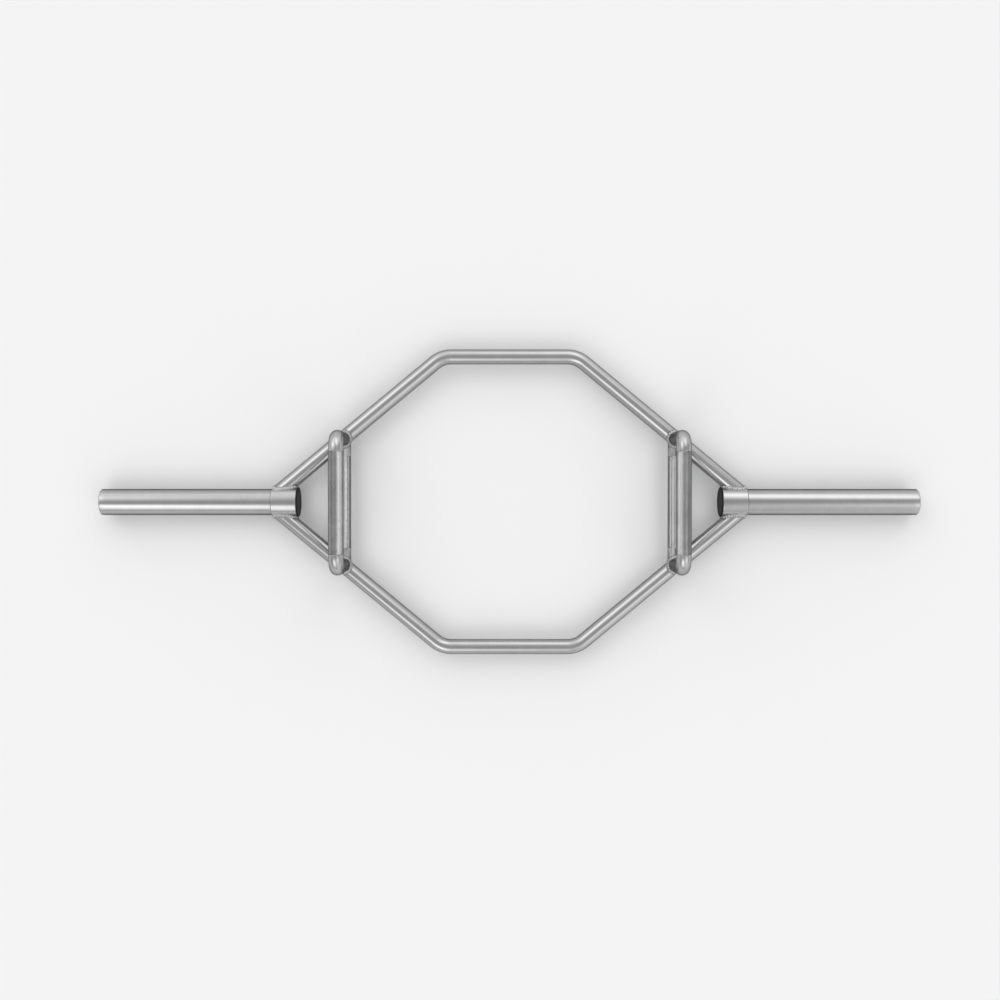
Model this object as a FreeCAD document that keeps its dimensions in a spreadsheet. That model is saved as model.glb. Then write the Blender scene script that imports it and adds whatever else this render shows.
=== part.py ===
import FreeCAD, Part
import math
import os
import Sketcher
from FreeCAD import Placement, Rotation, Vector

# Hex trap bar for lifting: two bent frame bars meet at a collar on either end, each collar carries a
# plate sleeve, and on either side a low handle joins the bars with a high handle standing above it.
# X runs along the sleeves, Y from front to rear, Z up. The origin is on the floor under the middle.
# Lengths in mm, angles in degrees.

doc = FreeCAD.newDocument("hex_trap_bar")
sheet = doc.addObject("Spreadsheet::Sheet", "Sizes")

sizes = {
    # frame bars: round bar, one bent for the front and one for the rear
    "bar_diameter": "28.6",
    "frame_depth": "556",
    "frame_run": "258.5",
    "frame_angle": "39.6",
    "bend_radius": "50",
    # low and high handles, set back from the corner where the frame bars' axes meet
    "handle_setback": "147.3",
    "grip_diameter": "28",
    "handle_height": "112",
    "handle_bend": "24",
    "foot_inset": "1.5",
    # knurled bands: clear of the high handle's bends and of the low handle's welds
    "high_knurl_inset": "2.85",
    "low_knurl_inset": "0.2",
    "knurl_rise": "0.2",
    "knurl_fade": "0.8",
    # collars that the frame bars are welded to
    "collar_diameter": "57",
    "collar_length": "49",
    "collar_setback": "59.8",
    "collar_chamfer": "1.5",
    # sleeves for the plates, with a reduced spigot through the collar
    "sleeve_diameter": "50",
    "sleeve_length": "327",
    "sleeve_bore": "38",
    "sleeve_chamfer": "1.5",
    "spigot_diameter": "46",
    "mouth_chamfer": "0.8",
    # disc that closes the sleeve's outer end
    "cap_thickness": "8",
    "cap_recess": "1.2",
    "cap_chamfer": "1",
    # ribbed plug that closes the collar's inner end
    "plug_head": "2",
    "plug_rim": "0.8",
    "plug_rim_drop": "0.5",
    "plug_stem": "35",
    "plug_length": "20",
    "rib_pitch": "5",
    "rib_width": "1.6",
    # weld beads
    "weld_leg": "3",
    "weld_crown": "0.6",
    "weld_stop": "1",
}
rib_count = 3
weld_stations = 24

for row, (alias, text) in enumerate(sizes.items(), 1):
    sheet.set(f"A{row}", alias)
    sheet.set(f"B{row}", text)
    sheet.setAlias(f"B{row}", alias)
doc.recompute()

# Places and radii that several pieces share, as expressions over the sheet
lift = "(Sizes.collar_diameter / 2)"
apex = "(Sizes.frame_run / 2 + Sizes.frame_depth / 2 / tan(Sizes.frame_angle))"
collar_in = f"({apex} - Sizes.collar_setback)"
collar_out = f"({collar_in} + Sizes.collar_length)"
sleeve_end = f"({collar_out} + Sizes.sleeve_length)"
handle_x = f"({apex} - Sizes.handle_setback)"
node_y = "(Sizes.handle_setback * tan(Sizes.frame_angle))"
foot_y = f"({node_y} - Sizes.foot_inset)"
bar_radius = "(Sizes.bar_diameter / 2)"
grip_radius = "(Sizes.grip_diameter / 2)"
collar_radius = "(Sizes.collar_diameter / 2)"
sleeve_radius = "(Sizes.sleeve_diameter / 2)"
spigot_radius = "(Sizes.spigot_diameter / 2)"
bore_radius = "(Sizes.sleeve_bore / 2)"
stem_radius = "(Sizes.plug_stem / 2)"
low_cope = f"(({bar_radius} + {grip_radius} * sin(Sizes.frame_angle)) / cos(Sizes.frame_angle))"
low_knurl_end = f"({node_y} - {low_cope} - Sizes.weld_leg - Sizes.low_knurl_inset)"
high_knurl_end = f"({foot_y} - Sizes.handle_bend - Sizes.high_knurl_inset)"

up = Vector(0, 0, 1)
sleeve_axis = Vector(1, 0, 0)
depth_axis = Vector(0, 1, 0)
middle = Vector(0, 0, 0)
as_built = Rotation()
half_turn = Rotation(up, 180)
quarter_turn = Rotation(up, 90)


def value(expression):
    return float(sheet.evalExpression(expression))


def origin_plane(body, role):
    return next(feature for feature in body.Origin.OriginFeatures if feature.Role == role)


def sketch_on(body, name, role):
    sketch = body.newObject("Sketcher::SketchObject", name)
    sketch.AttachmentSupport = (origin_plane(body, role), [""])
    sketch.MapMode = "FlatFace"
    return sketch


def bind(sketch, expression, kind, *places):
    number = sketch.addConstraint(Sketcher.Constraint(kind, *places, value(expression)))
    sketch.setExpression(f"Constraints[{number}]", expression)


def pin_point(sketch, geometry, point, x, y):
    # Holds a point at bound distances from the sketch's origin, or on an axis
    for kind, axis, expression in (("DistanceX", -2, x), ("DistanceY", -1, y)):
        if expression == "0":
            sketch.addConstraint(Sketcher.Constraint("PointOnObject", geometry, point, axis))
        else:
            bind(sketch, expression, kind, -1, 1, geometry, point)


def outline(sketch, corners):
    points = [Vector(value(x), value(y), 0) for x, y in corners]
    count = len(points)
    for number in range(count):
        sketch.addGeometry(Part.LineSegment(points[number], points[(number + 1) % count]))
    for number in range(count):
        sketch.addConstraint(Sketcher.Constraint("Coincident", number, 2, (number + 1) % count, 1))
    for number, (x, y) in enumerate(corners):
        pin_point(sketch, number, 1, x, y)


def circle(sketch, x, y, radius):
    ring = sketch.addGeometry(Part.Circle(Vector(value(x), value(y), 0), up, value(radius)))
    bind(sketch, radius, "Radius", ring)
    pin_point(sketch, ring, 3, x, y)


def bent_path(sketch, start, corner, end, radius):
    # Two straight runs joined by a tangent arc; the corner is where the runs would meet
    first, knee, last = (Vector(value(x), value(y), 0) for x, y in (start, corner, end))
    into = (knee - first).normalize()
    out = (last - knee).normalize()
    bend = into.getAngle(out)
    reach = value(radius) * math.tan(bend / 2)
    centre = knee + (out - into).normalize() * (value(radius) / math.cos(bend / 2))
    arc_start = knee - into * reach
    arc_end = knee + out * reach
    clockwise = into.cross(out).z < 0
    spokes = [arc_end - centre, arc_start - centre] if clockwise else [arc_start - centre, arc_end - centre]
    angles = [math.atan2(spoke.y, spoke.x) for spoke in spokes]
    sketch.addGeometry(Part.LineSegment(first, arc_start))
    sketch.addGeometry(Part.ArcOfCircle(Part.Circle(centre, up, value(radius)), *angles))
    sketch.addGeometry(Part.LineSegment(arc_end, last))
    begins, ends = (2, 1) if clockwise else (1, 2)
    sketch.addConstraint(Sketcher.Constraint("Horizontal", 0))
    sketch.addConstraint(Sketcher.Constraint("Tangent", 0, 2, 1, begins))
    sketch.addConstraint(Sketcher.Constraint("Tangent", 1, ends, 2, 1))
    bind(sketch, radius, "Radius", 1)
    pin_point(sketch, 0, 1, *start)
    pin_point(sketch, 2, 2, *end)


def sweep(body, profile, path):
    pipe = body.newObject("PartDesign::AdditivePipe", f"{body.Name}_sweep")
    pipe.Profile = profile
    pipe.Spine = (path, ["Edge1", "Edge2", "Edge3"])
    body.Tip = pipe
    return pipe


def revolve(body, sketch):
    turned = body.newObject("PartDesign::Revolution", f"{body.Name}_turned")
    turned.Profile = sketch
    turned.ReferenceAxis = (sketch, ["H_Axis"])
    turned.Angle = 360
    body.Tip = turned
    return turned


def mirror(body, feature, role):
    mirrored = body.newObject("PartDesign::Mirrored", f"{body.Name}_mirrored")
    mirrored.Originals = [feature]
    mirrored.MirrorPlane = (origin_plane(body, role), [""])
    body.Tip = mirrored


def place(piece, turn, x="0", height=lift):
    piece.Placement = Placement(middle, turn)
    piece.setExpression("Placement.Base.x", x)
    piece.setExpression("Placement.Base.z", height)


def turned_piece(name, corners, turn):
    # Piece turned round the sleeves' axis
    body = doc.addObject("PartDesign::Body", name)
    sketch = sketch_on(body, f"{name}_outline", "XY_Plane")
    outline(sketch, corners)
    revolve(body, sketch)
    place(body, turn)
    return body


def frame_bar(name, turn):
    # Half the bar is swept from the middle of its long run to the sleeves' axis and mirrored, then
    # both ends are coped to the collars
    body = doc.addObject("PartDesign::Body", name)
    path = sketch_on(body, f"{name}_path", "XY_Plane")
    depth = "(Sizes.frame_depth / 2)"
    bent_path(path, ("0", depth), ("(Sizes.frame_run / 2)", depth), (apex, "0"), "Sizes.bend_radius")
    bind(path, "(Sizes.frame_run / 2 - Sizes.bend_radius * tan(Sizes.frame_angle / 2))",
         "DistanceX", -1, 1, 0, 2)
    section = sketch_on(body, f"{name}_section", "YZ_Plane")
    circle(section, depth, "0", bar_radius)
    mirror(body, sweep(body, section, path), "YZ_Plane")
    cope = sketch_on(body, f"{name}_cope", "YZ_Plane")
    circle(cope, "0", "0", collar_radius)
    coped = body.newObject("PartDesign::Pocket", f"{name}_coped")
    coped.Profile = cope
    coped.SideType = "Symmetric"
    coped.Type = "ThroughAll"
    body.Tip = coped
    place(body, turn)
    doc.recompute()
    if coped.Shape.Volume >= coped.BaseFeature.Shape.Volume:
        raise RuntimeError(f"{name} is not coped to the collars")
    return body


def grip_outline(knurl_end, reach):
    # Half of a straight grip, whose knurled band stands slightly proud
    proud = f"({grip_radius} + Sizes.knurl_rise)"
    fade = f"({knurl_end} - Sizes.knurl_fade)"
    corners = [("0", "0"), ("0", proud), (fade, proud), (knurl_end, grip_radius)]
    return corners + ([(reach, grip_radius), (reach, "0")] if reach else [(knurl_end, "0")])


def grip_blank(name, knurl_end, reach, height):
    # Straight grip across the sleeves' axis
    body = doc.addObject("PartDesign::Body", name)
    sketch = sketch_on(body, f"{name}_outline", "XY_Plane")
    outline(sketch, grip_outline(knurl_end, reach))
    mirror(body, revolve(body, sketch), "YZ_Plane")
    place(body, quarter_turn, handle_x, height)
    return body


def bent_blank(name):
    # Bent bar whose legs run down to the frame bars' axis
    body = doc.addObject("PartDesign::Body", name)
    path = sketch_on(body, f"{name}_path", "YZ_Plane")
    height = "Sizes.handle_height"
    bent_path(path, ("0", height), (foot_y, height), (foot_y, "0"), "Sizes.handle_bend")
    section = sketch_on(body, f"{name}_section", "XZ_Plane")
    circle(section, "0", height, grip_radius)
    mirror(body, sweep(body, section, path), "XZ_Plane")
    place(body, as_built, handle_x)
    return body


def group(name, members):
    together = doc.addObject("Part::Compound", name)
    together.Links = members
    return together


def coped_piece(name, blank, tools, turn):
    piece = doc.addObject("Part::Cut", name)
    piece.Base = blank
    piece.Tool = tools
    piece.Placement = Placement(middle, turn)
    return piece


class Round:
    # Round bar's surface: a point's distance outside it, its normal there, and the point set on it.
    # Ends keep that point on the bar's length; a bar that stops at another has none beyond it.
    def __init__(self, start, axis, radius, ends=None, beyond=None):
        self.start, self.axis, self.radius = start, axis, radius
        self.ends, self.beyond = ends, beyond

    def spoke(self, point):
        return point - self.start - self.axis * (point - self.start).dot(self.axis)

    def distance(self, point):
        if self.beyond and (point - self.start).dot(self.beyond) > 0:
            return math.inf
        return self.spoke(point).Length - self.radius

    def normal(self, point):
        return self.spoke(point).normalize()

    def settle(self, point):
        moved = point - self.spoke(point) + self.normal(point) * self.radius
        if self.ends:
            along = (moved - self.start).dot(self.axis)
            moved += self.axis * (min(max(along, self.ends[0]), self.ends[1]) - along)
        return moved


def nearest(rounds, point):
    return min(rounds, key=lambda surface: surface.distance(point))


def bead(joint_line, bases, branch, closed):
    # Weld bead along the line where a branch bar meets one or more base bars. Its underside lies on
    # the bars, a leg wide on each, and its crown stands slightly proud between the two toes.
    leg = value("Sizes.weld_leg")
    crown = value("Sizes.weld_crown")
    count = len(joint_line)
    base_toes, branch_toes, outward = [], [], []
    for number, point in enumerate(joint_line):
        if closed:
            before, after = joint_line[number - 1], joint_line[(number + 1) % count]
        else:
            before, after = joint_line[max(number - 1, 0)], joint_line[min(number + 1, count - 1)]
        along = (after - before).normalize()
        base_normal = nearest(bases, point).normal(point)
        branch_normal = branch.normal(point)
        over_base = along.cross(base_normal).normalize()
        over_base *= math.copysign(1, over_base.dot(branch_normal))
        over_branch = along.cross(branch_normal).normalize()
        over_branch *= math.copysign(1, over_branch.dot(base_normal))
        base_toes.append(point + over_base * leg)
        branch_toes.append(point + over_branch * leg)
        outward.append((base_normal + branch_normal).normalize())

    def eased(points):
        # Rounds off the turn where the line passes from one base bar to the next
        return [(points[number - 1] + points[number] * 2 + points[(number + 1) % count]) / 4
                if closed or 0 < number < count - 1 else points[number] for number in range(count)]

    base_toes = [nearest(bases, toe).settle(toe) for toe in eased(base_toes)]
    branch_toes = [branch.settle(toe) for toe in branch_toes]
    pairs = list(zip(joint_line, base_toes, branch_toes, eased(outward)))
    under_base = [(point + toe) / 2 for point, toe, other, out in pairs]
    under_branch = [(point + other) / 2 for point, toe, other, out in pairs]
    rings = [
        joint_line,
        [nearest(bases, point).settle(point) for point in under_base],
        base_toes,
        [(toe + other) / 2 + out * crown for point, toe, other, out in pairs],
        branch_toes,
        [branch.settle(point) for point in under_branch],
    ]
    edges = []
    for ring in rings:
        curve = Part.BSplineCurve()
        stations = list(range(count + 1 if closed else count))
        curve.interpolate(Points=ring, PeriodicFlag=closed, Parameters=stations)
        edges.append(curve.toShape())
    faces = [Part.makeRuledSurface(edges[number - 1], edges[number]) for number in range(len(edges))]
    if not closed:
        for end in (0, -1):
            fan = [ring[end] for ring in rings]
            for number in range(1, len(fan) - 1):
                faces.append(Part.Face(Part.makePolygon([fan[0], fan[number], fan[number + 1], fan[0]])))
    shell = Part.makeShell(faces)
    shell.sewShape()
    solid = Part.Solid(shell)
    if solid.Volume < 0:
        solid.reverse()
    return solid


def weld(name, solid, turn):
    piece = doc.addObject("Part::Feature", name)
    piece.Shape = solid
    piece.Placement = Placement(Vector(0, 0, value(lift)), turn)
    return piece


def joint_bars():
    # The bars that meet at the right end's rear joints
    angle = math.radians(value("Sizes.frame_angle"))
    level_normal = Vector(math.sin(angle), math.cos(angle), 0)
    direction = Vector(-math.cos(angle), math.sin(angle), 0)
    node = Vector(value(handle_x), value(node_y), 0)
    foot = Vector(value(handle_x), value(foot_y), 0)
    ends = value(collar_in), value(collar_out)
    frame = Round(Vector(value(apex), 0, 0), direction, value(bar_radius))
    collar = Round(middle, sleeve_axis, value(collar_radius), ends)
    low = Round(node, depth_axis, value(grip_radius), beyond=level_normal)
    leg = Round(foot, up, value(grip_radius))
    return frame, collar, low, leg, level_normal


def turns():
    # Stations start half a step round, so that none falls on the top or the side of a bar
    return [(2 * number + 1) * math.pi / weld_stations for number in range(weld_stations)]


def collar_line():
    # Where a frame bar meets its collar
    frame, collar, low, leg, level_normal = joint_bars()
    line = []
    for turn in turns():
        z = frame.radius * math.sin(turn)
        y = math.sqrt(max(collar.radius ** 2 - z ** 2, 0))
        out = level_normal * (frame.radius * math.cos(turn)) + up * z
        line.append(frame.start + frame.axis * ((y - out.y) / frame.axis.y) + out)
    return line, [collar], frame, True


def low_line():
    # Where a low handle meets a frame bar, from one side of the high handle's leg round underneath
    frame, collar, low, leg, level_normal = joint_bars()
    line = []
    for turn in turns():
        x, z = low.radius * math.cos(turn), low.radius * math.sin(turn)
        inset = math.sqrt(max(frame.radius ** 2 - z ** 2, 0))
        line.append(low.start + Vector(x, (-inset - x * level_normal.x) / level_normal.y, z))
    room = value("Sizes.weld_leg + Sizes.weld_stop")
    clear = [point.z < 0 or leg.distance(point) > room for point in line]
    begin = next(number for number in range(weld_stations) if clear[number] and not clear[number - 1])
    order = [(begin + number) % weld_stations for number in range(weld_stations)]
    return [line[number] for number in order if clear[number]], [frame], low, False


def foot_line():
    # Where a high handle's leg stands in the crotch of a frame bar and a low handle
    frame, collar, low, leg, level_normal = joint_bars()
    line = []
    for turn in turns():
        plan = leg.start + Vector(math.cos(turn), math.sin(turn), 0) * leg.radius
        across = (plan - low.start).dot(level_normal)
        aside = plan.x - low.start.x
        over_frame = math.sqrt(max(frame.radius ** 2 - across ** 2, 0))
        over_low = math.sqrt(max(low.radius ** 2 - aside ** 2, 0)) if across < 0 else 0
        line.append(plan + up * max(over_frame, over_low))
    return line, [frame, low], leg, True


pieces = []
rear_bar = frame_bar("rear_frame_bar", as_built)
front_bar = frame_bar("front_frame_bar", half_turn)
pieces += [rear_bar, front_bar]

for side, turn in (("right", as_built), ("left", half_turn)):
    collar_rim = f"({collar_radius} - Sizes.collar_chamfer)"
    pieces.append(turned_piece(f"{side}_collar", [
        (collar_in, spigot_radius),
        (collar_in, collar_rim),
        (f"({collar_in} + Sizes.collar_chamfer)", collar_radius),
        (f"({collar_out} - Sizes.collar_chamfer)", collar_radius),
        (collar_out, collar_rim),
        (collar_out, spigot_radius),
    ], turn))
    pieces.append(turned_piece(f"{side}_sleeve", [
        (collar_in, bore_radius),
        (collar_in, spigot_radius),
        (collar_out, spigot_radius),
        (collar_out, sleeve_radius),
        (f"({sleeve_end} - Sizes.sleeve_chamfer)", sleeve_radius),
        (sleeve_end, f"({sleeve_radius} - Sizes.sleeve_chamfer)"),
        (sleeve_end, f"({bore_radius} + Sizes.mouth_chamfer)"),
        (f"({sleeve_end} - Sizes.mouth_chamfer)", bore_radius),
    ], turn))
    cap_face = f"({sleeve_end} - Sizes.cap_recess)"
    cap_back = f"({cap_face} - Sizes.cap_thickness)"
    pieces.append(turned_piece(f"{side}_sleeve_end_cap", [
        (cap_back, "0"),
        (cap_back, bore_radius),
        (f"({cap_face} - Sizes.cap_chamfer)", bore_radius),
        (cap_face, f"({bore_radius} - Sizes.cap_chamfer)"),
        (cap_face, "0"),
    ], turn))
    plug_face = f"({collar_in} - Sizes.plug_head)"
    plug_end = f"({collar_in} + Sizes.plug_length)"
    plug = [
        (plug_face, "0"),
        (plug_face, f"({collar_rim} - Sizes.plug_rim_drop)"),
        (f"({plug_face} + Sizes.plug_rim)", collar_rim),
        (collar_in, collar_rim),
        (collar_in, stem_radius),
    ]
    for rib in range(1, rib_count + 1):
        rib_start = f"({collar_in} + {rib} * Sizes.rib_pitch)"
        plug.append((rib_start, stem_radius))
        plug.append((rib_start, bore_radius))
        plug.append((f"({rib_start} + Sizes.rib_width)", stem_radius))
    plug += [(plug_end, stem_radius), (plug_end, "0")]
    pieces.append(turned_piece(f"{side}_inner_plug", plug, turn))

# The low handles are coped to the frame bars, and the high handles' legs to both
frame_bars = group("frame_bars", [rear_bar, front_bar])
low_blank = grip_blank("low_blank", low_knurl_end, node_y, lift)
low_right = coped_piece("right_low_handle", low_blank, frame_bars, as_built)
low_left = coped_piece("left_low_handle", low_blank, frame_bars, half_turn)
high_blank = doc.addObject("Part::Fuse", "high_blank")
high_blank.Base = bent_blank("bent_blank")
band_height = f"({lift} + Sizes.handle_height)"
high_blank.Tool = grip_blank("knurled_band", high_knurl_end, None, band_height)
under_legs = group("under_legs", [rear_bar, front_bar, low_right])
high_right = coped_piece("right_high_handle", high_blank, under_legs, as_built)
high_left = coped_piece("left_high_handle", high_blank, under_legs, half_turn)
pieces += [low_right, low_left, high_right, high_left]

# Each weld is made for the right end's rear, mirrored to the front, and turned to the left end
for joint, line_of in (("collar_weld", collar_line), ("low_handle_weld", low_line), ("foot_weld", foot_line)):
    rear = bead(*line_of())
    front = rear.mirror(middle, depth_axis)
    pieces.append(weld(f"right_rear_{joint}", rear, as_built))
    pieces.append(weld(f"left_front_{joint}", rear, half_turn))
    pieces.append(weld(f"right_front_{joint}", front, as_built))
    pieces.append(weld(f"left_rear_{joint}", front, half_turn))

doc.recompute()
for item in doc.Objects:
    if "Invalid" in item.State or "Error" in item.State:
        raise RuntimeError(f"{item.Name} did not build: {item.State}")
os.makedirs("parts", exist_ok=True)
for piece in pieces:
    piece.Label = piece.Name
    shape = piece.Shape
    if shape.isNull() or not shape.isValid() or not shape.Solids:
        raise RuntimeError(f"{piece.Name} has no valid solid")
    print(piece.Label, len(shape.Solids), round(shape.Volume))
    shape.exportStep(f"parts/{piece.Label}.step")
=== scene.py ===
import math

import bmesh
import bpy
from mathutils import Matrix, Vector, noise


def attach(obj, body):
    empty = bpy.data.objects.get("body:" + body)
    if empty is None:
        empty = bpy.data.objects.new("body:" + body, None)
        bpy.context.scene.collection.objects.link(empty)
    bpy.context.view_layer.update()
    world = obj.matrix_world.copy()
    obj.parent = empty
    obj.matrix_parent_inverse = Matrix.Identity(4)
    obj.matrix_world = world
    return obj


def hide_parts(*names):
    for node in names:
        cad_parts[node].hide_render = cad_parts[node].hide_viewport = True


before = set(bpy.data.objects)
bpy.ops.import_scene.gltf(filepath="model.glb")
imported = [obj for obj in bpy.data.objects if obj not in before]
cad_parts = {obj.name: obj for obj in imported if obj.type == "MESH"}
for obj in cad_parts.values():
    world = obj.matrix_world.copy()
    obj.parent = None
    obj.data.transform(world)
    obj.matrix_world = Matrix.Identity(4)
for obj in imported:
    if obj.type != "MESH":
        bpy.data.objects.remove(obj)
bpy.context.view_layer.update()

# Hex trap bar in satin plated steel, seen from straight above. Metres, X along the sleeves, Y to the rear.
scene = bpy.context.scene
scene.view_settings.view_transform = "Standard"
up = Vector((0, 0, 1))
turnOf = {"right": Matrix.Identity(4), "left": Matrix.Rotation(math.pi, 4, "Z")}
mirrorOf = {"rear": Matrix.Identity(4), "front": Matrix.Diagonal((1, -1, 1, 1))}

camera = {"place": (-0.0180, 0.0372, 2.3315), "tilt": -0.83, "lens": 43.2, "sensor": 36, "far": 50}


def addCamera():
    data = bpy.data.cameras.new("camera")
    data.lens, data.sensor_width = camera["lens"], camera["sensor"]
    data.clip_end = camera["far"]
    eye = bpy.data.objects.new("camera", data)
    eye.location = camera["place"]
    eye.rotation_euler.x = math.radians(camera["tilt"])  # all but straight down, with the rear at the top
    scene.collection.objects.link(eye)
    scene.camera = eye


addCamera()
print("camera in place")


class Wire:
    # One socket of a node tree, so that shader sums read as plain Python
    def __init__(self, tree, socket=None):
        self.tree, self.socket = tree, socket

    def add(self, kind, settings, inputs, output=0):
        node = self.tree.nodes.new(kind)
        for key, setting in settings.items():
            setattr(node, key, setting)
        for key, given in inputs.items():
            if isinstance(given, Wire):
                self.tree.links.new(given.socket, node.inputs[key])
            else:
                node.inputs[key].default_value = given
        return Wire(self.tree, node.outputs[output]) if node.outputs else None

    def sums(self, operation, *terms):
        return self.add("ShaderNodeMath", {"operation": operation}, dict(enumerate(terms)))

    def __add__(self, other):
        return self.sums("ADD", self, other)

    def __sub__(self, other):
        return self.sums("SUBTRACT", self, other)

    def __rsub__(self, other):
        return self.sums("SUBTRACT", other, self)

    def __mul__(self, other):
        return self.sums("MULTIPLY", self, other)

    def __pow__(self, other):
        return self.sums("POWER", self, other)

    __radd__, __rmul__ = __add__, __mul__

    def span(self, low, high, first, last):
        return self.add("ShaderNodeMapRange", {"clamp": True},
                        {"Value": self, "From Min": low, "From Max": high, "To Min": first, "To Max": last})


def stretched(start, place, scale):
    return start.add("ShaderNodeVectorMath", {"operation": "MULTIPLY"}, {0: place, 1: scale})


def grain(start, place, scale, detail, rough):
    return start.add("ShaderNodeTexNoise", {"noise_dimensions": "3D"},
                     {"Vector": place, "Scale": scale, "Detail": detail, "Roughness": rough})


def shade(start, dark, light, share):
    # Mix of two colours
    return start.add("ShaderNodeMix", {"data_type": "RGBA", "clamp_factor": True},
                     {0: share, 6: (*dark, 1), 7: (*light, 1)}, 2)


def newFinish(name):
    material = bpy.data.materials.new(name)
    material.use_nodes = True
    material.node_tree.nodes.clear()
    start = Wire(material.node_tree)
    stock = start.add("ShaderNodeAttribute", {"attribute_name": "stock"}, {}, 1)
    worn = start.add("ShaderNodeAttribute", {"attribute_name": "worn"}, {}, 2)
    return material, start, stock, worn


def close(start, sockets):
    body = start.add("ShaderNodeBsdfPrincipled", {}, sockets)
    start.add("ShaderNodeOutputMaterial", {}, {"Surface": body})


def bumped(start, height, strength, distance):
    return start.add("ShaderNodeBump", {}, {"Height": height, "Strength": strength, "Distance": distance})


# Satin plate: each finish has its own greys and its own lines from drawing, turning or knurling
# The drawn and turned spans of heights set where painted top light rises from the flanks to the top
plate = {
    "drawn": {"dark": 0.26, "light": 0.48, "rough": (0.18, 0.24), "edge": 0.35, "lighten": (0.3, 0.75),
              "lines": (6.0, 900.0, 900.0), "lineDepth": 0.00002, "lineStrength": 0.35},
    "turned": {"dark": 0.26, "light": 0.48, "rough": (0.18, 0.23), "edge": 0.25, "lighten": (0.3, 0.58),
               "lines": (1400.0, 14.0, 14.0), "lineDepth": 0.00002, "lineStrength": 0.3},
    # the grips' greys span wide for their painted light and shade
    "gripped": {"dark": 0.16, "light": 0.74, "rough": (0.18, 0.26), "edge": 0.25,
                "lines": (8.0, 900.0, 900.0), "lineDepth": 0.00002, "lineStrength": 0.3},
    "faced": {"dark": 0.40, "light": 0.48, "rough": (0.20, 0.28), "edge": 0.2,
              "lines": (300.0, 300.0, 300.0), "lineDepth": 0.00002, "lineStrength": 0.3},
    "beaded": {"dark": 0.16, "light": 0.56, "rough": (0.22, 0.34), "edge": 0.3,
               "lines": (700.0, 700.0, 700.0), "lineDepth": 0.00012, "lineStrength": 0.7},
}
# Marks as (scale, detail, roughness): the lines, slow clouding of the plate, handling marks a palm wide
marks = {"lines": (1.0, 3.0, 0.6), "mottle": (42.0, 3.0, 0.55), "haze": (9.0, 2.0, 0.5)}
toneShare = {"worn": 0.7, "lines": 0.25, "mottle": 0.3, "less": 0.1}
roughShare = {"fresh": 0.35, "mottle": (0.35, 0.7, 0, 0.35), "haze": (0.4, 0.7, 0, 0.3), "lines": 0.2,
              "less": 0.1}


def paintedTopLight(name, height):
    # Painted top light: 1 along the top, 0 on the flanks and below, which get painted shade
    low, high = plate[name]["lighten"]
    return min(1, max(0, (height - low) / (high - low)))


def plateFinish(name):
    look = plate[name]
    material, start, stock, worn = newFinish(name + "_plate")
    lines = grain(start, stretched(start, stock, look["lines"]), *marks["lines"])
    mottle = grain(start, stock, *marks["mottle"])
    haze = grain(start, stock, *marks["haze"])
    # tone follows the attribute's wear and painted light and shade, plus lines and mottle
    tone = (worn * toneShare["worn"] + lines * toneShare["lines"] + mottle * toneShare["mottle"]
            - toneShare["less"])
    rough = ((1 - worn) * roughShare["fresh"] + mottle.span(*roughShare["mottle"])
             + haze.span(*roughShare["haze"]) + lines * roughShare["lines"] - roughShare["less"])
    low, high = look["rough"]
    close(start, {
        "Base Color": shade(start, [look["dark"]] * 3, [look["light"]] * 3, tone),
        "Metallic": 1.0,
        "Specular Tint": (look["edge"], look["edge"], look["edge"], 1),  # the plate darkens towards its outline
        "Roughness": rough.span(0, 1, low, high),
        "Normal": bumped(start, lines, look["lineStrength"], look["lineDepth"]),
    })
    return material


moulded = {"dark": (0.010, 0.010, 0.011), "light": (0.032, 0.032, 0.034), "rough": (0.6, 0.8), "specular": 0.2,
           "pebble": (2600.0, 1.0, 0.5), "pebbleDepth": 0.00005, "pebbleStrength": 0.25,
           "dust": (120.0, 4.0, 0.6), "dustSpan": (0.5, 0.8, 0, 1), "dustShare": 0.4, "wornShare": 0.6}


def mouldedFinish():
    material, start, stock, worn = newFinish("moulded_black")
    pebble = grain(start, stock, *moulded["pebble"])
    dust = grain(start, stock, *moulded["dust"]).span(*moulded["dustSpan"])
    tone = dust * moulded["dustShare"] + worn * moulded["wornShare"]
    close(start, {
        "Base Color": shade(start, moulded["dark"], moulded["light"], tone),
        "Roughness": (pebble * 0.5 + dust * 0.5).span(0.2, 0.8, *moulded["rough"]),  # half pebble, half dust
        "Specular IOR Level": moulded["specular"],
        "Normal": bumped(start, pebble, moulded["pebbleStrength"], moulded["pebbleDepth"]),
    })
    return material


finishes = {name: plateFinish(name) for name in plate}
finishes["moulded"] = mouldedFinish()
print("finishes made:", ", ".join(finishes))

even = 0.5  # level half way between dull and bright, to which wear and painted light and shade are added
sharpEdge = 32  # degrees


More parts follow.
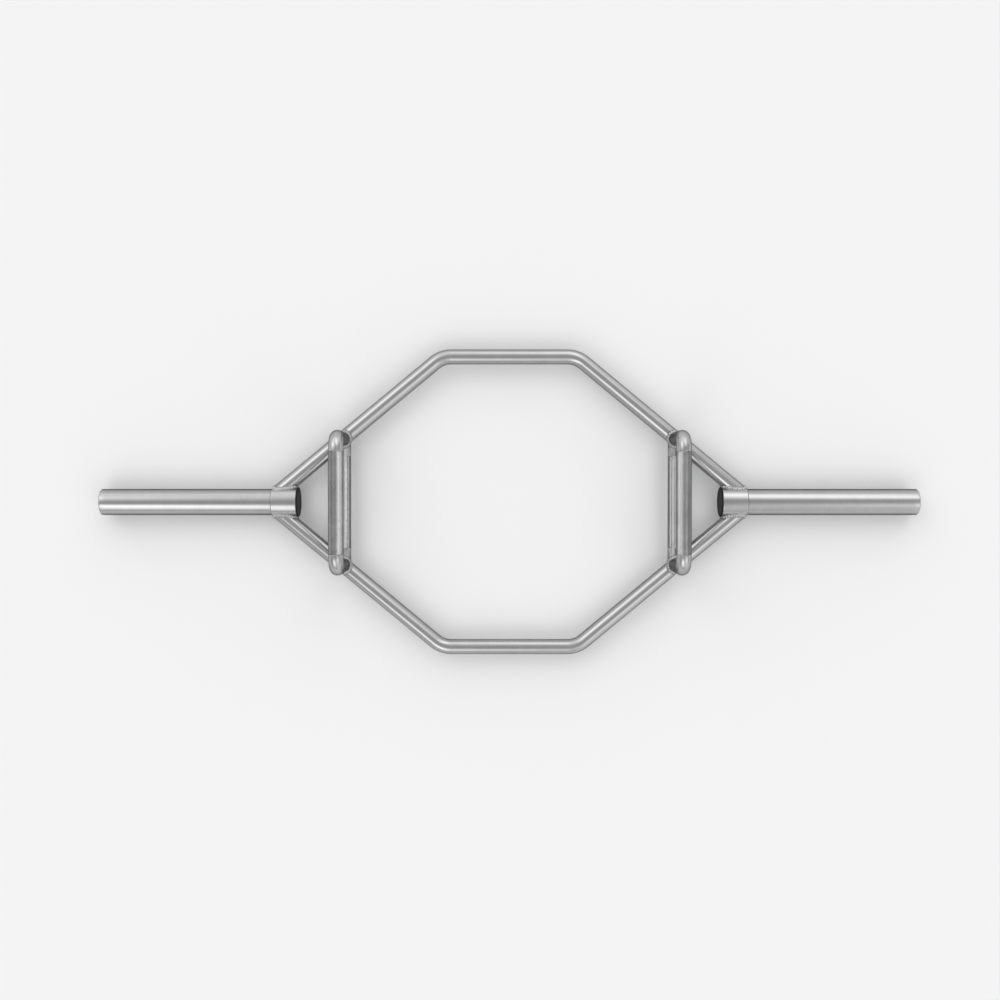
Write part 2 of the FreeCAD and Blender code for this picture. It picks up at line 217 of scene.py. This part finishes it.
class Form:
    # A piece in the making: its points, each with its place on the straight stock and its wear and painted light
    # and shade
    def __init__(self):
        self.points, self.stock, self.worn, self.faces, self.flat = [], [], [], [], []

    def ring(self, points, stock, worn):
        start = len(self.points)
        self.points += points
        self.stock += stock
        self.worn += worn if isinstance(worn, list) else [worn] * len(points)
        return list(range(start, start + len(points)))

    def face(self, corners, flat=False):
        self.faces.append(corners)
        self.flat.append(flat)

    def skin(self, first, second):
        count = len(first)
        for number in range(count):
            after = (number + 1) % count
            self.face((first[number], first[after], second[after], second[number]))

    def cap(self, ring, point, stock, worn=even):
        tip = self.ring([point], [stock], worn)[0]
        for number in range(len(ring)):
            self.face((ring[number], ring[(number + 1) % len(ring)], tip))

    def finish(self, node, finish, slot, matrix, sharp=sharpEdge):
        mesh = bpy.data.meshes.new(node)
        mesh.from_pydata([matrix @ point for point in self.points], [], self.faces)
        mesh.attributes.new("stock", "FLOAT_VECTOR", "POINT").data.foreach_set(
            "vector", [part for place in self.stock for part in place])
        mesh.attributes.new("worn", "FLOAT", "POINT").data.foreach_set("value", self.worn)
        mesh.polygons.foreach_set("use_smooth", [not flat for flat in self.flat])
        work = bmesh.new()
        work.from_mesh(mesh)
        bmesh.ops.recalc_face_normals(work, faces=work.faces)
        work.to_mesh(mesh)
        work.free()
        mesh.set_sharp_from_angle(angle=math.radians(sharp))
        mesh.materials.append(finishes[finish])
        piece = bpy.data.objects.new(node + ("_moulded" if finish == "moulded" else "_plated"), mesh)
        scene.collection.objects.link(piece)
        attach(piece, "root")
        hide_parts(node)


def spin(count):
    return [2 * math.pi * number / count for number in range(count)]


def bentLine(corners, radius, steps):
    # Straight runs joined by arcs, as (point, direction, length so far)
    line, length = [], 0
    last = corners[0]
    for number in range(1, len(corners)):
        into = (corners[number] - corners[number - 1]).normalized()
        if number == len(corners) - 1:
            line += [(last, into, length), (corners[number], into, length + (corners[number] - last).length)]
            break
        out = (corners[number + 1] - corners[number]).normalized()
        bend = into.angle(out)
        reach = radius * math.tan(bend / 2)
        begin = corners[number] - into * reach
        centre = corners[number] + (out - into).normalized() * (radius / math.cos(bend / 2))
        axis = into.cross(out).normalized()
        line.append((last, into, length))
        length += (begin - last).length
        for step in range(steps + 1):
            turn = Matrix.Rotation(bend * step / steps, 3, axis)
            line.append((centre + turn @ (begin - centre), turn @ into, length + radius * bend * step / steps))
        length += radius * bend
        last = line.pop()[0]
    return line


frameBar = {"radius": 0.0143, "depth": 0.278, "run": 0.12925, "angle": math.radians(39.6), "bend": 0.05,
            "level": 0.0285, "around": 72, "bendSteps": 18}
lean = frameBar["angle"]
apex = frameBar["run"] + frameBar["depth"] / math.tan(lean)
level = up * frameBar["level"]
levelNormal = Vector((math.sin(lean), math.cos(lean), 0))
barRun = Vector((-math.cos(lean), math.sin(lean), 0))

collar = {"setback": 0.0598, "length": 0.049, "radius": 0.0285, "chamfer": 0.0015, "ease": 0.0004, "around": 128}
collarIn = apex - collar["setback"]
collarOut = collarIn + collar["length"]


def collarJoint(turn):
    # Point where a line along the frame bar's right end meets its collar
    out = levelNormal * (frameBar["radius"] * math.cos(turn)) + up * (frameBar["radius"] * math.sin(turn))
    y = math.sqrt(collar["radius"] ** 2 - out.z ** 2)
    return Vector((apex, 0, 0)) + barRun * ((y - out.y) / barRun.y) + out


def addFrameBar(node, matrix):
    form = Form()
    side, depth = frameBar["run"], frameBar["depth"]
    tip = Vector((apex, 0, 0)) + barRun * (collar["radius"] / barRun.y)
    farTip = Vector((-tip.x, tip.y, 0))
    line = bentLine([tip, Vector((side, depth, 0)), Vector((-side, depth, 0)), farTip],
                    frameBar["bend"], frameBar["bendSteps"])
    radius, turns, rings = frameBar["radius"], spin(frameBar["around"]), []
    # painted light along the top, painted shade on the flanks and below
    worn = [paintedTopLight("drawn", math.sin(turn)) for turn in turns]
    for number, (point, along, length) in enumerate(line):
        across = Vector((along.y, -along.x, 0))
        places = [point + (across * (radius * math.cos(turn)) + up * (radius * math.sin(turn))) for turn in turns]
        if number in (0, len(line) - 1):  # both ends are cut to the collars
            places = [collarJoint(turn) for turn in turns]
            if number:
                places = [Vector((-place.x, place.y, place.z)) for place in places]
        stock = [(length, radius * math.cos(turn), radius * math.sin(turn)) for turn in turns]
        rings.append(form.ring([place + level for place in places], stock, worn))
    for first, second in zip(rings, rings[1:]):
        form.skin(first, second)
    form.cap(rings[0], tip + level, (0, 0, 0))
    form.cap(rings[-1], farTip + level, (line[-1][2], 0, 0))
    form.finish(node, "drawn", "frame_steel", matrix)


addFrameBar("rear_frame_bar", mirrorOf["rear"])
addFrameBar("front_frame_bar", turnOf["left"])
print("frame bars bent")

grip = {"radius": 0.014, "setback": 0.1473, "inset": 0.0015, "height": 0.112, "bend": 0.024, "around": 88,
        "bendSteps": 16, "stockHalf": 0.3}
# Tones are painted light and shade over the even level, by the side that faces out: outer is 1, inner -1, top and
# bottom 0
knurl = {"step": 0.0015, "crest": 0.0003, "root": -0.00035, "highInset": 0.0012, "lowInset": 0.0002,
         "fade": 0.0008, "lighten": 0.12, "plainEnd": 0.1,
         "highPaintedLight": [(-1, -0.75), (-0.62, 0.3), (-0.42, 0.3), (0.5, -0.7)],  # painted shade on the outer side and at the inner edge, painted light on the inner flanks
         "lowPaintedLight": [(0.62, 0.35), (0.84, -0.75)]}  # painted light along the top and below, painted shade at the sides
handleX = apex - grip["setback"]
nodeY = grip["setback"] * math.tan(lean)
footY = nodeY - grip["inset"]
legAt = Vector((handleX, footY, 0))
lowWeldLeg = 0.003


def footJoint(turn):
    # Point where a line down the high handle's leg meets the frame bar or the low handle
    plan = legAt + Vector((math.cos(turn), math.sin(turn), 0)) * grip["radius"]
    across = (plan - Vector((handleX, nodeY, 0))).dot(levelNormal)
    aside = plan.x - handleX
    overFrame = math.sqrt(max(frameBar["radius"] ** 2 - across ** 2, 0))
    overLow = math.sqrt(max(grip["radius"] ** 2 - aside ** 2, 0)) if across < 0 else 0
    return plan + up * max(overFrame, overLow)


def lowJoint(turn):
    # Point where a line along the low handle meets the rear frame bar
    x, z = grip["radius"] * math.cos(turn), grip["radius"] * math.sin(turn)
    inset = math.sqrt(frameBar["radius"] ** 2 - z ** 2)
    return Vector((handleX + x, nodeY + (-inset - x * levelNormal.x) / levelNormal.y, z))


def ramp(place, stops):
    # Straight lines between stops of (place, value)
    for (first, low), (last, high) in zip(stops, stops[1:]):
        if place < last:
            return low + (high - low) * max(0, (place - first) / (last - first))
    return stops[-1][1]


def highPaintedLight(out):
    return ramp(out, knurl["highPaintedLight"])


def lowPaintedLight(out):
    return ramp(abs(out), knurl["lowPaintedLight"])


def addKnurl(form, end, axisAt, before, after, tone):
    # Diamonds pressed round a straight grip from -end to end; before and after are its plain neighbours
    count = 2 * round(end / knurl["step"])
    turns, rings = spin(grip["around"]), []
    for step in range(count + 1):
        y = -end + 2 * end * step / count
        fade = min(1, (end - abs(y)) / knurl["fade"])
        points, stock, worn = [], [], []
        for number, turn in enumerate(turns):
            crest = (step + number) % 2
            radius = grip["radius"] + fade * (knurl["crest"] if crest else knurl["root"])
            points.append(axisAt + Vector((radius * math.cos(turn), y, radius * math.sin(turn))))
            stock.append((y, radius * math.cos(turn), radius * math.sin(turn)))
            # painted light and shade by side, crests lighter than roots
            worn.append(even + fade * (tone(math.cos(turn)) + (knurl["lighten"] if crest else -knurl["lighten"])))
        rings.append(form.ring(points, stock, worn))
    for step in range(count):
        first, second = rings[step], rings[step + 1]
        for number in range(len(turns)):
            on = (number + 1) % len(turns)
            low, side, high, across = first[number], first[on], second[on], second[number]
            if (step + number) % 2:  # each diamond's faces meet along the grooves
                form.face((low, side, across), True)
                form.face((side, high, across), True)
            else:
                form.face((low, side, high), True)
                form.face((low, high, across), True)
    form.skin(before, rings[0])
    form.skin(rings[-1], after)


def addHighHandle(node, matrix):
    form = Form()
    radius, turns = grip["radius"], spin(grip["around"])
    top = Vector((handleX, 0, grip["height"]))
    end = footY - grip["bend"] - knurl["highInset"]
    line = bentLine([legAt, Vector((handleX, footY, grip["height"])), top], grip["bend"], grip["bendSteps"])[:-1]
    heel = legAt + up * radius
    sides = {}
    for sign in (1, -1):  # rear leg, then front leg
        rings = []
        for number, (point, along, length) in enumerate(line):
            over = along.cross(Vector((1, 0, 0)))  # up along the top run, to the rear on the leg
            edge = [Vector((radius * math.cos(turn), 0, 0)) + over * (radius * math.sin(turn)) for turn in turns]
            places = [point + out for out in edge]
            if number == 0:
                places = [footJoint(math.atan2(out.y, out.x)) for out in edge]
            stock = [(sign * (grip["stockHalf"] - length), out.x, out.y + out.z) for out in edge]
            rings.append(form.ring([Vector((p.x, sign * p.y, p.z)) + level for p in places], stock, even))
        for first, second in zip(rings, rings[1:]):
            form.skin(first, second)
        form.cap(rings[0], Vector((heel.x, sign * heel.y, heel.z)) + level, (sign * grip["stockHalf"], 0, 0))
        sides[sign] = rings[-1]
    addKnurl(form, end, top + level, sides[-1], sides[1], highPaintedLight)
    form.finish(node, "gripped", "grip_steel", matrix)


def addLowHandle(node, matrix):
    form = Form()
    radius, turns = grip["radius"], spin(grip["around"])
    cope = (frameBar["radius"] + radius * math.sin(lean)) / math.cos(lean)
    end = nodeY - cope - lowWeldLeg - knurl["lowInset"]
    # the plain ends carry the same painted light and shade by side
    worn = [even + knurl["plainEnd"] + lowPaintedLight(math.cos(turn)) for turn in turns]
    places = [lowJoint(turn) for turn in turns]
    sides = {}
    for sign in (1, -1):
        stock = [(sign * place.y, radius * math.cos(turn), radius * math.sin(turn))
                 for place, turn in zip(places, turns)]
        sides[sign] = form.ring([Vector((p.x, sign * p.y, p.z)) + level for p in places], stock, worn)
        heel = Vector((handleX, sign * (nodeY - frameBar["radius"]), 0))
        form.cap(sides[sign], heel + level, (sign * nodeY, 0, 0))
    addKnurl(form, end, Vector((handleX, 0, 0)) + level, sides[-1], sides[1], lowPaintedLight)
    form.finish(node, "gripped", "grip_steel", matrix)


for side, matrix in turnOf.items():
    addHighHandle(side + "_high_handle", matrix)
    addLowHandle(side + "_low_handle", matrix)
print("handles knurled")


def lathe(node, profile, finish, slot, matrix, around):
    # Turned piece round the sleeves' axis; profile points are (x, radius, wear)
    form, turns, rings = Form(), spin(around), []
    closed = profile[0][1] > 0
    for x, radius, worn in profile:
        if radius == 0:
            rings.append(x)
            continue
        points = [Vector((x, radius * math.cos(turn), radius * math.sin(turn))) for turn in turns]
        # turned pieces get painted light along the top and painted shade on the flanks and below, over their wear
        if finish == "turned":
            worn = [worn - even + paintedTopLight(finish, math.sin(turn)) for turn in turns]
        rings.append(form.ring([point + level for point in points], [tuple(point) for point in points], worn))
    for number in range(len(rings) if closed else len(rings) - 1):
        first, second = rings[number], rings[(number + 1) % len(rings)]
        if isinstance(first, float):
            form.cap(second, Vector((first, 0, 0)) + level, (first, 0, 0))
        elif isinstance(second, float):
            form.cap(first, Vector((second, 0, 0)) + level, (second, 0, 0))
        else:
            form.skin(first, second)
    form.finish(node, finish, slot, matrix)


easeSteps = 3


def eased(corners):
    # Profile with its corners rounded; corners are (x, radius, ease, wear)
    profile = []
    for number, (x, radius, ease, worn) in enumerate(corners):
        here = Vector((x, radius))
        before = Vector(corners[number - 1][:2])
        after = Vector(corners[(number + 1) % len(corners)][:2])
        if ease == 0:
            profile.append((float(x), radius, worn))
            continue
        first = here + (before - here).normalized() * ease
        last = here + (after - here).normalized() * ease
        for step in range(easeSteps + 1):
            t = step / easeSteps
            point = first * (1 - t) ** 2 + here * (2 * t * (1 - t)) + last * t ** 2
            profile.append((point.x, point.y, worn))
    return profile


sleeve = {"radius": 0.025, "length": 0.327, "bore": 0.019, "spigot": 0.023, "chamfer": 0.0015, "ease": 0.0005,
          "mouth": 0.0008, "mouthEase": 0.0002, "seat": 0.004, "tip": 0.012, "around": 128}
endCap = {"thickness": 0.008, "recess": 0.0012, "chamfer": 0.001, "backEase": 0.0002, "faceEase": 0.0003,
          "middle": 0.012, "around": 128}
plug = {"radius": 0.0282, "head": 0.002, "rim": 0.0008, "rimEase": 0.0003, "drop": 0.0005, "dropEase": 0.0004,
        "dish": 0.0006, "dishRadius": 0.018, "dishEase": 0.002, "lipRadius": 0.0205, "lipEase": 0.0008,
        "stem": 0.0175, "length": 0.02, "ribPitch": 0.005, "ribWidth": 0.0016, "ribs": 3, "around": 96}
sleeveEnd = collarOut + sleeve["length"]


def addCollar(side, matrix):
    radius, spigot, chamfer, ease = collar["radius"], sleeve["spigot"], collar["chamfer"], collar["ease"]
    lathe(side + "_collar", eased([
        (collarIn, spigot, 0, 0.4),
        (collarIn, radius - chamfer, ease, 0.9),
        (collarIn + chamfer, radius, ease, 1.0),
        (collarIn + chamfer * 2, radius, 0, 0.5),
        (collarOut - chamfer * 2, radius, 0, 0.5),
        (collarOut - chamfer, radius, ease, 1.0),
        (collarOut, radius - chamfer, ease, 0.8),
        (collarOut, spigot, 0, 0.4),
    ]), "turned", "collar_steel", matrix, collar["around"])


def addSleeve(side, matrix):
    radius, bore, spigot = sleeve["radius"], sleeve["bore"], sleeve["spigot"]
    chamfer, mouth = sleeve["chamfer"], sleeve["mouth"]
    lathe(side + "_sleeve", eased([
        (collarIn, bore, 0, 0.4),
        (collarIn, spigot, 0, 0.4),
        (collarOut, spigot, 0, 0.4),
        (collarOut, radius, 0, 0.3),
        (collarOut + sleeve["seat"], radius, 0, 0.45),
        (sleeveEnd - sleeve["tip"], radius, 0, 0.55),
        (sleeveEnd - chamfer, radius, sleeve["ease"], 1.0),
        (sleeveEnd, radius - chamfer, sleeve["ease"], 1.0),
        (sleeveEnd, bore + mouth, sleeve["mouthEase"], 0.8),
        (sleeveEnd - mouth, bore, sleeve["mouthEase"], 0.5),
    ]), "turned", "sleeve_steel", matrix, sleeve["around"])


def addEndCap(side, matrix):
    bore, chamfer = sleeve["bore"], endCap["chamfer"]
    face = sleeveEnd - endCap["recess"]
    back = face - endCap["thickness"]
    lathe(side + "_sleeve_end_cap", eased([
        (back, 0, 0, 0.4),
        (back, bore, 0, 0.4),
        (face - chamfer, bore, endCap["backEase"], 0.6),
        (face, bore - chamfer, endCap["faceEase"], 0.9),
        (face, endCap["middle"], 0, 0.5),
        (face, 0, 0, 0.5),
    ]), "faced", "cap_steel", matrix, endCap["around"])


def addPlug(side, matrix):
    radius, stem = plug["radius"], plug["stem"]
    face, tail = collarIn - plug["head"], collarIn + plug["length"]
    corners = [
        (face + plug["dish"], 0, 0, 1.0),
        (face + plug["dish"], plug["dishRadius"], plug["dishEase"], 0.8),
        (face, plug["lipRadius"], plug["lipEase"], 0.2),
        (face, radius - plug["drop"], plug["dropEase"], 0.2),
        (face + plug["rim"], radius, plug["rimEase"], 0.2),
        (collarIn, radius, 0, 0.2),
        (collarIn, stem, 0, 0.3),
    ]
    for rib in range(1, plug["ribs"] + 1):
        x = collarIn + rib * plug["ribPitch"]
        corners += [(x, stem, 0, 0.3), (x, sleeve["bore"], 0, 0.4), (x + plug["ribWidth"], stem, 0, 0.3)]
    corners += [(tail, stem, 0, 0.3), (tail, 0, 0, 0.3)]
    lathe(side + "_inner_plug", eased(corners), "moulded", "plug_plastic", matrix, plug["around"])


for side, matrix in turnOf.items():
    addCollar(side, matrix)
    addSleeve(side, matrix)
    addEndCap(side, matrix)
    addPlug(side, matrix)
print("turned pieces made")

# Three leg lengths in metres; crown, ripple and pitch are shares of a leg, and each noise has its own scale
bead = {"collar": 0.005, "low": lowWeldLeg, "foot": 0.005, "crown": 0.18, "ripple": 0.13, "pitch": 0.9,
        "groove": 0.7, "bow": 0.45, "lighten": (0.75, 0.25), "rootWear": 0.2, "endWear": 0.4,
        "step": 0.0004, "reach": 3, "across": 11, "around": 720, "sharp": 60,
        "wander": 0.0005, "wanderScale": 260, "toesApart": 7.0, "unsteady": 0.35, "unsteadyScale": 150,
        "grit": 0.00016, "gritScale": 900, "gritAcross": 4, "gritLayer": 3, "seedStep": 3.7,
        "taper": 0.003, "blunt": 0.45, "sink": 0.00012, "root": 0.0004, "end": 0.0008, "overlap": 0.001}
bars = {
    "frame": (Vector((apex, 0, 0)), barRun, frameBar["radius"]),
    "collar": (Vector((0, 0, 0)), Vector((1, 0, 0)), collar["radius"]),
    "low": (Vector((handleX, nodeY, 0)), Vector((0, 1, 0)), grip["radius"]),
    "leg": (legAt, up, grip["radius"]),
}


def spoke(bar, point):
    # From a bar's axis straight out to a point
    start, axis, radius = bars[bar]
    return point - start - axis * (point - start).dot(axis)


def clear(bar, point):
    # Distance outside a bar; the low handle has none past the frame bar's axis
    if bar == "low" and (point - bars["low"][0]).dot(levelNormal) > 0:
        return math.inf
    return spoke(bar, point).length - bars[bar][2]


def settled(bar, point, lift):
    # The point moved straight in or out to the bar's surface, plus the lift
    out = spoke(bar, point)
    return point - out + out.normalized() * (bars[bar][2] + lift)


def evenly(line, closed, step):
    # The same line with stations a step apart, as (point, length so far)
    if closed:
        line = line + [line[0]]
    lengths = [0]
    for first, second in zip(line, line[1:]):
        lengths.append(lengths[-1] + (second - first).length)
    count = max(8, round(lengths[-1] / step))
    found, number = [], 0
    for station in range(count if closed else count + 1):
        goal = lengths[-1] * station / count
        while number < len(lengths) - 2 and lengths[number + 1] < goal:
            number += 1
        share = (goal - lengths[number]) / max(lengths[number + 1] - lengths[number], 1e-9)
        found.append((line[number].lerp(line[number + 1], min(share, 1)), goal))
    return found


def addBead(node, line, bases, branch, closed, leg, matrix, seed):
    # Rippled bead: its toes wander a little, its crown rises in small crescents
    form, rings = Form(), []
    stations = evenly(line, closed, bead["step"])
    count, reach, steps = len(stations), bead["reach"], bead["across"]
    last = stations[-1][1]
    for number, (point, length) in enumerate(stations):
        before = stations[number - reach if closed else max(number - reach, 0)][0]
        after = stations[(number + reach) % count if closed else min(number + reach, count - 1)][0]
        along = (after - before).normalized()
        base = min(bases, key=lambda bar: clear(bar, point))
        baseNormal, branchNormal = spoke(base, point).normalized(), spoke(branch, point).normalized()
        overBase, overBranch = along.cross(baseNormal).normalized(), along.cross(branchNormal).normalized()
        overBase *= math.copysign(1, overBase.dot(branchNormal))
        overBranch *= math.copysign(1, overBranch.dot(baseNormal))
        out = (baseNormal + branchNormal).normalized()
        drift = [bead["wander"] * noise.noise(point * bead["wanderScale"] + Vector((seed, shift, 0)))
                 for shift in (0, bead["toesApart"])]
        taper = 1
        if not closed:  # an open bead thins towards its ends
            taper = min(1, bead["blunt"] + (1 - bead["blunt"]) * min(length, last - length) / bead["taper"])
        baseToe = point + overBase * (leg * taper + drift[0])
        if branch == "frame":  # the collar's ends hold the bead
            baseToe.x = min(max(baseToe.x, collarIn + bead["end"]), collarOut - bead["end"])
        base = min(bases, key=lambda bar: clear(bar, baseToe))
        baseToe = settled(base, baseToe, -bead["sink"])
        branchToe = settled(branch, point + overBranch * (leg * taper + drift[1]), -bead["sink"])
        hurry = bead["unsteady"] * noise.noise(point * bead["unsteadyScale"] + Vector((0, seed, 0)))
        points, worn = [], []
        for step in range(steps):
            t = step / (steps - 1)
            arch = 1 - (2 * t - 1) ** 2
            phase = length / (bead["pitch"] * leg) + bead["bow"] * (1 - arch) + hurry
            groove = 1 - abs(math.sin(math.pi * phase)) ** bead["groove"]  # narrow, between rounded crescents
            rise = leg * (arch * bead["crown"] * taper + arch ** 0.5 * bead["ripple"] * (1 - 2 * groove))
            rise += arch * bead["grit"] * noise.noise(
                point * bead["gritScale"] + Vector((t * bead["gritAcross"], seed, bead["gritLayer"])))
            points.append(baseToe.lerp(branchToe, t) + out * rise)
            worn.append(max(0, min(1, bead["lighten"][0] * (1 - groove) + bead["lighten"][1] * arch)))
        points.append(point - out * bead["root"])  # root of the bead, inside the joint
        worn.append(bead["rootWear"])
        stock = [tuple(matrix @ place) for place in points]
        rings.append(form.ring([place + level for place in points], stock, worn))
    for first, second in zip(rings, rings[1:] + rings[:1] if closed else rings[1:]):
        form.skin(first, second)
    if not closed:
        for ring in (rings[0], rings[-1]):
            middle = form.points[ring[steps // 2]].lerp(form.points[ring[-1]], 0.5)
            form.cap(ring, middle, tuple(matrix @ (middle - level)), bead["endWear"])
    form.finish(node, "beaded", "weld_steel", matrix, bead["sharp"])


def lowSpan():
    # The low handle's joint, from one side of the high handle's leg round underneath to the other
    line = [lowJoint(turn) for turn in spin(bead["around"])]
    margin = grip["radius"] + bead["foot"] - bead["overlap"]
    outside = [point.z < 0 or spoke("leg", point).length > margin for point in line]
    begin = next(number for number in range(len(line)) if outside[number] and not outside[number - 1])
    order = [(begin + number) % len(line) for number in range(len(line))]
    return [line[number] for number in order if outside[number]]


# Each joint: its line, the bars under it, the bar that stands on them, whether it closes, and its leg
joints = {
    "collar_weld": ([collarJoint(turn) for turn in spin(bead["around"])], ["collar"], "frame", True,
                    bead["collar"]),
    "low_handle_weld": (lowSpan(), ["frame"], "low", False, bead["low"]),
    "foot_weld": ([footJoint(turn) for turn in spin(bead["around"])], ["frame", "low"], "leg", True,
                  bead["foot"]),
}
seed = 0
for side, turn in turnOf.items():
    for end in ("rear", "front"):
        mirrored = (end == "front") != (side == "left")
        for joint, (line, bases, branch, closed, leg) in joints.items():
            seed += 1
            addBead(f"{side}_{end}_{joint}", line, bases, branch, closed, leg,
                    turn @ mirrorOf["front" if mirrored else "rear"], seed * bead["seedStep"])
print("welds laid")

ground = {"size": 30.0, "color": (0.895, 0.895, 0.895), "rough": 0.9}


def addFloor():
    mesh = bpy.data.meshes.new("floor")
    half = ground["size"] / 2
    mesh.from_pydata([(-half, -half, 0), (half, -half, 0), (half, half, 0), (-half, half, 0)], [], [(0, 1, 2, 3)])
    material = bpy.data.materials.new("pale_floor")
    material.use_nodes = True
    material.node_tree.nodes.clear()
    start = Wire(material.node_tree)
    close(start, {"Base Color": (*ground["color"], 1), "Roughness": ground["rough"], "Specular IOR Level": 0.0})
    mesh.materials.append(material)
    floor = bpy.data.objects.new("floor", mesh)
    scene.collection.objects.link(floor)


addFloor()

# Soft studio: a level dome with wide soft lights in it, each (azimuth, elevation, tightness, strength),
# and a low wall all round, as pale as the floor, that fades out between two elevations
studio = {"wall": 0.895, "wallEdge": (3, 10), "dome": 0.535, "lights": [
    (102, 10, 3, 0.74),  # wide and low, from the rear
    (254, 38, 21, 1.37),
    (62, 45, 34, 1.14),
    (322, 47, 19, 1.15),
    (141, 42, 19, 1.42),
    (238, 52, 52, 1.41),
    (303, 14, 17, 0.58),
    (51, 10, 20, 0.52),
    (79, 30, 45, 1.0),
    (0, 3, 40, 0.9),  # low at both ends, for the legs and the ends of the sleeves
    (180, 3, 40, 0.7),
]}


def addStudio():
    world = bpy.data.worlds.new("studio")
    world.use_nodes = True
    scene.world = world
    world.node_tree.nodes.clear()
    start = Wire(world.node_tree)
    toward = start.add("ShaderNodeTexCoord", {}, {})
    total = studio["dome"]
    for azimuth, elevation, tight, strength in studio["lights"]:
        a, e = math.radians(azimuth), math.radians(elevation)
        aim = (math.cos(a) * math.cos(e), math.sin(a) * math.cos(e), math.sin(e))
        facing = start.add("ShaderNodeVectorMath", {"operation": "DOT_PRODUCT"}, {0: toward, 1: aim}, 1)
        total = start.sums("MAXIMUM", facing, 0.0) ** tight * strength + total
    height = start.add("ShaderNodeSeparateXYZ", {}, {0: toward}, 2)
    low, high = (math.sin(math.radians(edge)) for edge in studio["wallEdge"])
    total += height.span(low, high, 1, 0) * (studio["wall"] - total)
    lit = start.add("ShaderNodeBackground", {}, {"Color": (1, 1, 1, 1), "Strength": total})
    start.add("ShaderNodeOutputWorld", {}, {"Surface": lit})


addStudio()
print("floor and studio light set")
